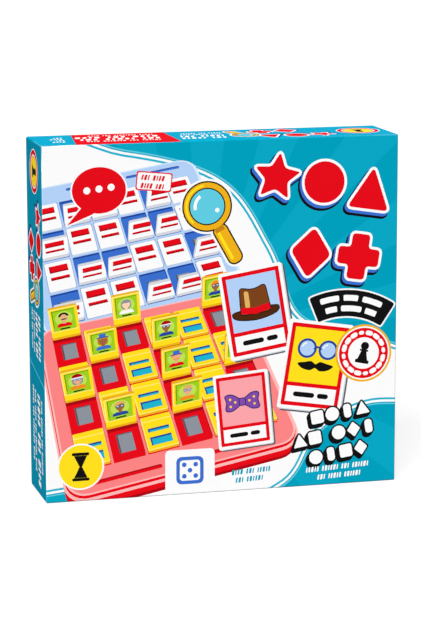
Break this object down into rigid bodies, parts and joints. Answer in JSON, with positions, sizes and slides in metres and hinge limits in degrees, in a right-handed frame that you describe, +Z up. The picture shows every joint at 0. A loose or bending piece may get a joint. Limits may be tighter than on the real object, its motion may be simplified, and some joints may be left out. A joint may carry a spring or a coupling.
{
  "type": "face guessing flip game",
  "caption": "Closed cardboard game box with a full-depth lid, holding stacked moulded boards of hinged flip frames with face cards, a card deck and a rules leaflet",
  "frame": {"origin": "bottom centre of the closed box, on the surface that it stands on", "axes": "+Z up the standing box, -Y out of the lid's front panel, +X along its width to the right as seen from the front"},
  "size_m": [0.27, 0.06, 0.265],
  "materials": {
    "lid_wrap": "printed paper wrap over greyboard, satin laminate",
    "tray_wrap": "white paper wrap over greyboard, matt",
    "red_plastic": "moulded plastic, satin gloss",
    "blue_plastic": "moulded plastic, satin gloss",
    "yellow_plastic": "moulded plastic, satin gloss",
    "white_plastic": "moulded plastic, satin gloss",
    "card_stock": "coated card, matt",
    "leaflet_paper": "folded uncoated paper"
  },
  "bodies": {
    "tray": {"base_tray": "tray_wrap"},
    "lid": {"lid": "lid_wrap"},
    "red_board": {"red_board": "red_plastic"},
    "blue_board": {"blue_board": "blue_plastic"},
    "mystery_cards": {"mystery_cards": "card_stock"},
    "rules_leaflet": {"rules_leaflet": "leaflet_paper"},
    "yellow_frame_r1c1": {"yellow_frame_r1c1": "yellow_plastic"},
    "yellow_frame_r1c2": {"yellow_frame_r1c2": "yellow_plastic"},
    "yellow_frame_r1c3": {"yellow_frame_r1c3": "yellow_plastic"},
    "yellow_frame_r1c4": {"yellow_frame_r1c4": "yellow_plastic"},
    "yellow_frame_r1c5": {"yellow_frame_r1c5": "yellow_plastic"},
    "yellow_frame_r1c6": {"yellow_frame_r1c6": "yellow_plastic"},
    "yellow_frame_r2c1": {"yellow_frame_r2c1": "yellow_plastic"},
    "yellow_frame_r2c2": {"yellow_frame_r2c2": "yellow_plastic"},
    "yellow_frame_r2c3": {"yellow_frame_r2c3": "yellow_plastic"},
    "yellow_frame_r2c4": {"yellow_frame_r2c4": "yellow_plastic"},
    "yellow_frame_r2c5": {"yellow_frame_r2c5": "yellow_plastic"},
    "yellow_frame_r2c6": {"yellow_frame_r2c6": "yellow_plastic"},
    "yellow_frame_r3c1": {"yellow_frame_r3c1": "yellow_plastic"},
    "yellow_frame_r3c2": {"yellow_frame_r3c2": "yellow_plastic"},
    "yellow_frame_r3c3": {"yellow_frame_r3c3": "yellow_plastic"},
    "yellow_frame_r3c4": {"yellow_frame_r3c4": "yellow_plastic"},
    "yellow_frame_r3c5": {"yellow_frame_r3c5": "yellow_plastic"},
    "yellow_frame_r3c6": {"yellow_frame_r3c6": "yellow_plastic"},
    "yellow_frame_r4c1": {"yellow_frame_r4c1": "yellow_plastic"},
    "yellow_frame_r4c2": {"yellow_frame_r4c2": "yellow_plastic"},
    "yellow_frame_r4c3": {"yellow_frame_r4c3": "yellow_plastic"},
    "yellow_frame_r4c4": {"yellow_frame_r4c4": "yellow_plastic"},
    "yellow_frame_r4c5": {"yellow_frame_r4c5": "yellow_plastic"},
    "yellow_frame_r4c6": {"yellow_frame_r4c6": "yellow_plastic"},
    "white_frame_r1c1": {"white_frame_r1c1": "white_plastic"},
    "white_frame_r1c2": {"white_frame_r1c2": "white_plastic"},
    "white_frame_r1c3": {"white_frame_r1c3": "white_plastic"},
    "white_frame_r1c4": {"white_frame_r1c4": "white_plastic"},
    "white_frame_r1c5": {"white_frame_r1c5": "white_plastic"},
    "white_frame_r1c6": {"white_frame_r1c6": "white_plastic"},
    "white_frame_r2c1": {"white_frame_r2c1": "white_plastic"},
    "white_frame_r2c2": {"white_frame_r2c2": "white_plastic"},
    "white_frame_r2c3": {"white_frame_r2c3": "white_plastic"},
    "white_frame_r2c4": {"white_frame_r2c4": "white_plastic"},
    "white_frame_r2c5": {"white_frame_r2c5": "white_plastic"},
    "white_frame_r2c6": {"white_frame_r2c6": "white_plastic"},
    "white_frame_r3c1": {"white_frame_r3c1": "white_plastic"},
    "white_frame_r3c2": {"white_frame_r3c2": "white_plastic"},
    "white_frame_r3c3": {"white_frame_r3c3": "white_plastic"},
    "white_frame_r3c4": {"white_frame_r3c4": "white_plastic"},
    "white_frame_r3c5": {"white_frame_r3c5": "white_plastic"},
    "white_frame_r3c6": {"white_frame_r3c6": "white_plastic"},
    "white_frame_r4c1": {"white_frame_r4c1": "white_plastic"},
    "white_frame_r4c2": {"white_frame_r4c2": "white_plastic"},
    "white_frame_r4c3": {"white_frame_r4c3": "white_plastic"},
    "white_frame_r4c4": {"white_frame_r4c4": "white_plastic"},
    "white_frame_r4c5": {"white_frame_r4c5": "white_plastic"},
    "white_frame_r4c6": {"white_frame_r4c6": "white_plastic"}
  },
  "joints": [
    {"name": "lid_slide", "type": "slide", "parent": "tray", "child": "lid", "axis": [0, -1, 0], "range_m": [0, 0.36]},
    {"name": "blue_board_lift", "type": "slide", "parent": "tray", "child": "blue_board", "axis": [0, -1, 0], "range_m": [0, 0.2405]},
    {"name": "red_board_lift", "type": "slide", "parent": "tray", "child": "red_board", "axis": [0, -1, 0], "range_m": [0, 0.1205]},
    {"name": "card_deck_lift", "type": "slide", "parent": "tray", "child": "mystery_cards", "axis": [0, -1, 0], "range_m": [0, 0.0605]},
    {"name": "leaflet_lift", "type": "slide", "parent": "tray", "child": "rules_leaflet", "axis": [0, -1, 0], "range_m": [0, 0.0305]},
    {"name": "yellow_flip_r1c1", "type": "hinge", "parent": "red_board", "child": "yellow_frame_r1c1", "pos_m": [-0.095, 0.0079, 0.0834], "axis": [-1, 0, 0], "range_deg": [0, 97]},
    {"name": "yellow_flip_r1c2", "type": "hinge", "parent": "red_board", "child": "yellow_frame_r1c2", "pos_m": [-0.057, 0.0079, 0.0834], "axis": [-1, 0, 0], "range_deg": [0, 97]},
    {"name": "yellow_flip_r1c3", "type": "hinge", "parent": "red_board", "child": "yellow_frame_r1c3", "pos_m": [-0.019, 0.0079, 0.0834], "axis": [-1, 0, 0], "range_deg": [0, 97]},
    {"name": "yellow_flip_r1c4", "type": "hinge", "parent": "red_board", "child": "yellow_frame_r1c4", "pos_m": [0.019, 0.0079, 0.0834], "axis": [-1, 0, 0], "range_deg": [0, 97]},
    {"name": "yellow_flip_r1c5", "type": "hinge", "parent": "red_board", "child": "yellow_frame_r1c5", "pos_m": [0.057, 0.0079, 0.0834], "axis": [-1, 0, 0], "range_deg": [0, 97]},
    {"name": "yellow_flip_r1c6", "type": "hinge", "parent": "red_board", "child": "yellow_frame_r1c6", "pos_m": [0.095, 0.0079, 0.0834], "axis": [-1, 0, 0], "range_deg": [0, 97]},
    {"name": "yellow_flip_r2c1", "type": "hinge", "parent": "red_board", "child": "yellow_frame_r2c1", "pos_m": [-0.095, 0.0079, 0.1343], "axis": [-1, 0, 0], "range_deg": [0, 97]},
    {"name": "yellow_flip_r2c2", "type": "hinge", "parent": "red_board", "child": "yellow_frame_r2c2", "pos_m": [-0.057, 0.0079, 0.1343], "axis": [-1, 0, 0], "range_deg": [0, 97]},
    {"name": "yellow_flip_r2c3", "type": "hinge", "parent": "red_board", "child": "yellow_frame_r2c3", "pos_m": [-0.019, 0.0079, 0.1343], "axis": [-1, 0, 0], "range_deg": [0, 97]},
    {"name": "yellow_flip_r2c4", "type": "hinge", "parent": "red_board", "child": "yellow_frame_r2c4", "pos_m": [0.019, 0.0079, 0.1343], "axis": [-1, 0, 0], "range_deg": [0, 97]},
    {"name": "yellow_flip_r2c5", "type": "hinge", "parent": "red_board", "child": "yellow_frame_r2c5", "pos_m": [0.057, 0.0079, 0.1343], "axis": [-1, 0, 0], "range_deg": [0, 97]},
    {"name": "yellow_flip_r2c6", "type": "hinge", "parent": "red_board", "child": "yellow_frame_r2c6", "pos_m": [0.095, 0.0079, 0.1343], "axis": [-1, 0, 0], "range_deg": [0, 97]},
    {"name": "yellow_flip_r3c1", "type": "hinge", "parent": "red_board", "child": "yellow_frame_r3c1", "pos_m": [-0.095, 0.0079, 0.1852], "axis": [-1, 0, 0], "range_deg": [0, 97]},
    {"name": "yellow_flip_r3c2", "type": "hinge", "parent": "red_board", "child": "yellow_frame_r3c2", "pos_m": [-0.057, 0.0079, 0.1852], "axis": [-1, 0, 0], "range_deg": [0, 97]},
    {"name": "yellow_flip_r3c3", "type": "hinge", "parent": "red_board", "child": "yellow_frame_r3c3", "pos_m": [-0.019, 0.0079, 0.1852], "axis": [-1, 0, 0], "range_deg": [0, 97]},
    {"name": "yellow_flip_r3c4", "type": "hinge", "parent": "red_board", "child": "yellow_frame_r3c4", "pos_m": [0.019, 0.0079, 0.1852], "axis": [-1, 0, 0], "range_deg": [0, 97]},
    {"name": "yellow_flip_r3c5", "type": "hinge", "parent": "red_board", "child": "yellow_frame_r3c5", "pos_m": [0.057, 0.0079, 0.1852], "axis": [-1, 0, 0], "range_deg": [0, 97]},
    {"name": "yellow_flip_r3c6", "type": "hinge", "parent": "red_board", "child": "yellow_frame_r3c6", "pos_m": [0.095, 0.0079, 0.1852], "axis": [-1, 0, 0], "range_deg": [0, 97]},
    {"name": "yellow_flip_r4c1", "type": "hinge", "parent": "red_board", "child": "yellow_frame_r4c1", "pos_m": [-0.095, 0.0079, 0.2361], "axis": [-1, 0, 0], "range_deg": [0, 97]},
    {"name": "yellow_flip_r4c2", "type": "hinge", "parent": "red_board", "child": "yellow_frame_r4c2", "pos_m": [-0.057, 0.0079, 0.2361], "axis": [-1, 0, 0], "range_deg": [0, 97]},
    {"name": "yellow_flip_r4c3", "type": "hinge", "parent": "red_board", "child": "yellow_frame_r4c3", "pos_m": [-0.019, 0.0079, 0.2361], "axis": [-1, 0, 0], "range_deg": [0, 97]},
    {"name": "yellow_flip_r4c4", "type": "hinge", "parent": "red_board", "child": "yellow_frame_r4c4", "pos_m": [0.019, 0.0079, 0.2361], "axis": [-1, 0, 0], "range_deg": [0, 97]},
    {"name": "yellow_flip_r4c5", "type": "hinge", "parent": "red_board", "child": "yellow_frame_r4c5", "pos_m": [0.057, 0.0079, 0.2361], "axis": [-1, 0, 0], "range_deg": [0, 97]},
    {"name": "yellow_flip_r4c6", "type": "hinge", "parent": "red_board", "child": "yellow_frame_r4c6", "pos_m": [0.095, 0.0079, 0.2361], "axis": [-1, 0, 0], "range_deg": [0, 97]},
    {"name": "white_flip_r1c1", "type": "hinge", "parent": "blue_board", "child": "white_frame_r1c1", "pos_m": [-0.095, -0.0104, 0.0834], "axis": [-1, 0, 0], "range_deg": [0, 97]},
    {"name": "white_flip_r1c2", "type": "hinge", "parent": "blue_board", "child": "white_frame_r1c2", "pos_m": [-0.057, -0.0104, 0.0834], "axis": [-1, 0, 0], "range_deg": [0, 97]},
    {"name": "white_flip_r1c3", "type": "hinge", "parent": "blue_board", "child": "white_frame_r1c3", "pos_m": [-0.019, -0.0104, 0.0834], "axis": [-1, 0, 0], "range_deg": [0, 97]},
    {"name": "white_flip_r1c4", "type": "hinge", "parent": "blue_board", "child": "white_frame_r1c4", "pos_m": [0.019, -0.0104, 0.0834], "axis": [-1, 0, 0], "range_deg": [0, 97]},
    {"name": "white_flip_r1c5", "type": "hinge", "parent": "blue_board", "child": "white_frame_r1c5", "pos_m": [0.057, -0.0104, 0.0834], "axis": [-1, 0, 0], "range_deg": [0, 97]},
    {"name": "white_flip_r1c6", "type": "hinge", "parent": "blue_board", "child": "white_frame_r1c6", "pos_m": [0.095, -0.0104, 0.0834], "axis": [-1, 0, 0], "range_deg": [0, 97]},
    {"name": "white_flip_r2c1", "type": "hinge", "parent": "blue_board", "child": "white_frame_r2c1", "pos_m": [-0.095, -0.0104, 0.1343], "axis": [-1, 0, 0], "range_deg": [0, 97]},
    {"name": "white_flip_r2c2", "type": "hinge", "parent": "blue_board", "child": "white_frame_r2c2", "pos_m": [-0.057, -0.0104, 0.1343], "axis": [-1, 0, 0], "range_deg": [0, 97]},
    {"name": "white_flip_r2c3", "type": "hinge", "parent": "blue_board", "child": "white_frame_r2c3", "pos_m": [-0.019, -0.0104, 0.1343], "axis": [-1, 0, 0], "range_deg": [0, 97]},
    {"name": "white_flip_r2c4", "type": "hinge", "parent": "blue_board", "child": "white_frame_r2c4", "pos_m": [0.019, -0.0104, 0.1343], "axis": [-1, 0, 0], "range_deg": [0, 97]},
    {"name": "white_flip_r2c5", "type": "hinge", "parent": "blue_board", "child": "white_frame_r2c5", "pos_m": [0.057, -0.0104, 0.1343], "axis": [-1, 0, 0], "range_deg": [0, 97]},
    {"name": "white_flip_r2c6", "type": "hinge", "parent": "blue_board", "child": "white_frame_r2c6", "pos_m": [0.095, -0.0104, 0.1343], "axis": [-1, 0, 0], "range_deg": [0, 97]},
    {"name": "white_flip_r3c1", "type": "hinge", "parent": "blue_board", "child": "white_frame_r3c1", "pos_m": [-0.095, -0.0104, 0.1852], "axis": [-1, 0, 0], "range_deg": [0, 97]},
    {"name": "white_flip_r3c2", "type": "hinge", "parent": "blue_board", "child": "white_frame_r3c2", "pos_m": [-0.057, -0.0104, 0.1852], "axis": [-1, 0, 0], "range_deg": [0, 97]},
    {"name": "white_flip_r3c3", "type": "hinge", "parent": "blue_board", "child": "white_frame_r3c3", "pos_m": [-0.019, -0.0104, 0.1852], "axis": [-1, 0, 0], "range_deg": [0, 97]},
    {"name": "white_flip_r3c4", "type": "hinge", "parent": "blue_board", "child": "white_frame_r3c4", "pos_m": [0.019, -0.0104, 0.1852], "axis": [-1, 0, 0], "range_deg": [0, 97]},
    {"name": "white_flip_r3c5", "type": "hinge", "parent": "blue_board", "child": "white_frame_r3c5", "pos_m": [0.057, -0.0104, 0.1852], "axis": [-1, 0, 0], "range_deg": [0, 97]},
    {"name": "white_flip_r3c6", "type": "hinge", "parent": "blue_board", "child": "white_frame_r3c6", "pos_m": [0.095, -0.0104, 0.1852], "axis": [-1, 0, 0], "range_deg": [0, 97]},
    {"name": "white_flip_r4c1", "type": "hinge", "parent": "blue_board", "child": "white_frame_r4c1", "pos_m": [-0.095, -0.0104, 0.2361], "axis": [-1, 0, 0], "range_deg": [0, 97]},
    {"name": "white_flip_r4c2", "type": "hinge", "parent": "blue_board", "child": "white_frame_r4c2", "pos_m": [-0.057, -0.0104, 0.2361], "axis": [-1, 0, 0], "range_deg": [0, 97]},
    {"name": "white_flip_r4c3", "type": "hinge", "parent": "blue_board", "child": "white_frame_r4c3", "pos_m": [-0.019, -0.0104, 0.2361], "axis": [-1, 0, 0], "range_deg": [0, 97]},
    {"name": "white_flip_r4c4", "type": "hinge", "parent": "blue_board", "child": "white_frame_r4c4", "pos_m": [0.019, -0.0104, 0.2361], "axis": [-1, 0, 0], "range_deg": [0, 97]},
    {"name": "white_flip_r4c5", "type": "hinge", "parent": "blue_board", "child": "white_frame_r4c5", "pos_m": [0.057, -0.0104, 0.2361], "axis": [-1, 0, 0], "range_deg": [0, 97]},
    {"name": "white_flip_r4c6", "type": "hinge", "parent": "blue_board", "child": "white_frame_r4c6", "pos_m": [0.095, -0.0104, 0.2361], "axis": [-1, 0, 0], "range_deg": [0, 97]}
  ],
  "couplings": [
    {"joint": "blue_board_lift", "follows": "lid_slide", "ratio": 0.66667},
    {"joint": "red_board_lift", "follows": "lid_slide", "ratio": 0.33333},
    {"joint": "card_deck_lift", "follows": "lid_slide", "ratio": 0.16667},
    {"joint": "leaflet_lift", "follows": "lid_slide", "ratio": 0.083333},
    {"joint": "yellow_flip_r1c1", "follows": "lid_slide", "rad_per_m": 4.7022},
    {"joint": "yellow_flip_r1c2", "follows": "lid_slide", "rad_per_m": 4.7022},
    {"joint": "yellow_flip_r1c3", "follows": "lid_slide", "rad_per_m": 4.7022},
    {"joint": "yellow_flip_r1c4", "follows": "lid_slide", "rad_per_m": 4.7022},
    {"joint": "yellow_flip_r1c5", "follows": "lid_slide", "rad_per_m": 4.7022},
    {"joint": "yellow_flip_r1c6", "follows": "lid_slide", "rad_per_m": 4.7022},
    {"joint": "yellow_flip_r2c1", "follows": "lid_slide", "rad_per_m": 4.7022},
    {"joint": "yellow_flip_r2c2", "follows": "lid_slide", "rad_per_m": 4.7022},
    {"joint": "yellow_flip_r2c3", "follows": "lid_slide", "rad_per_m": 4.7022},
    {"joint": "yellow_flip_r2c4", "follows": "lid_slide", "rad_per_m": 4.7022},
    {"joint": "yellow_flip_r2c5", "follows": "lid_slide", "rad_per_m": 4.7022},
    {"joint": "yellow_flip_r2c6", "follows": "lid_slide", "rad_per_m": 4.7022},
    {"joint": "yellow_flip_r3c1", "follows": "lid_slide", "rad_per_m": 4.7022},
    {"joint": "yellow_flip_r3c2", "follows": "lid_slide", "rad_per_m": 4.7022},
    {"joint": "yellow_flip_r3c3", "follows": "lid_slide", "rad_per_m": 4.7022},
    {"joint": "yellow_flip_r3c4", "follows": "lid_slide", "rad_per_m": 4.7022},
    {"joint": "yellow_flip_r3c5", "follows": "lid_slide", "rad_per_m": 4.7022},
    {"joint": "yellow_flip_r3c6", "follows": "lid_slide", "rad_per_m": 4.7022},
    {"joint": "yellow_flip_r4c1", "follows": "lid_slide", "rad_per_m": 4.7022},
    {"joint": "yellow_flip_r4c2", "follows": "lid_slide", "rad_per_m": 4.7022},
    {"joint": "yellow_flip_r4c3", "follows": "lid_slide", "rad_per_m": 4.7022},
    {"joint": "yellow_flip_r4c4", "follows": "lid_slide", "rad_per_m": 4.7022},
    {"joint": "yellow_flip_r4c5", "follows": "lid_slide", "rad_per_m": 4.7022},
    {"joint": "yellow_flip_r4c6", "follows": "lid_slide", "rad_per_m": 4.7022},
    {"joint": "white_flip_r1c1", "follows": "lid_slide", "rad_per_m": 4.7022},
    {"joint": "white_flip_r1c2", "follows": "lid_slide", "rad_per_m": 4.7022},
    {"joint": "white_flip_r1c3", "follows": "lid_slide", "rad_per_m": 4.7022},
    {"joint": "white_flip_r1c4", "follows": "lid_slide", "rad_per_m": 4.7022},
    {"joint": "white_flip_r1c5", "follows": "lid_slide", "rad_per_m": 4.7022},
    {"joint": "white_flip_r1c6", "follows": "lid_slide", "rad_per_m": 4.7022},
    {"joint": "white_flip_r2c1", "follows": "lid_slide", "rad_per_m": 4.7022},
    {"joint": "white_flip_r2c2", "follows": "lid_slide", "rad_per_m": 4.7022},
    {"joint": "white_flip_r2c3", "follows": "lid_slide", "rad_per_m": 4.7022},
    {"joint": "white_flip_r2c4", "follows": "lid_slide", "rad_per_m": 4.7022},
    {"joint": "white_flip_r2c5", "follows": "lid_slide", "rad_per_m": 4.7022},
    {"joint": "white_flip_r2c6", "follows": "lid_slide", "rad_per_m": 4.7022},
    {"joint": "white_flip_r3c1", "follows": "lid_slide", "rad_per_m": 4.7022},
    {"joint": "white_flip_r3c2", "follows": "lid_slide", "rad_per_m": 4.7022},
    {"joint": "white_flip_r3c3", "follows": "lid_slide", "rad_per_m": 4.7022},
    {"joint": "white_flip_r3c4", "follows": "lid_slide", "rad_per_m": 4.7022},
    {"joint": "white_flip_r3c5", "follows": "lid_slide", "rad_per_m": 4.7022},
    {"joint": "white_flip_r3c6", "follows": "lid_slide", "rad_per_m": 4.7022},
    {"joint": "white_flip_r4c1", "follows": "lid_slide", "rad_per_m": 4.7022},
    {"joint": "white_flip_r4c2", "follows": "lid_slide", "rad_per_m": 4.7022},
    {"joint": "white_flip_r4c3", "follows": "lid_slide", "rad_per_m": 4.7022},
    {"joint": "white_flip_r4c4", "follows": "lid_slide", "rad_per_m": 4.7022},
    {"joint": "white_flip_r4c5", "follows": "lid_slide", "rad_per_m": 4.7022},
    {"joint": "white_flip_r4c6", "follows": "lid_slide", "rad_per_m": 4.7022}
  ]
}
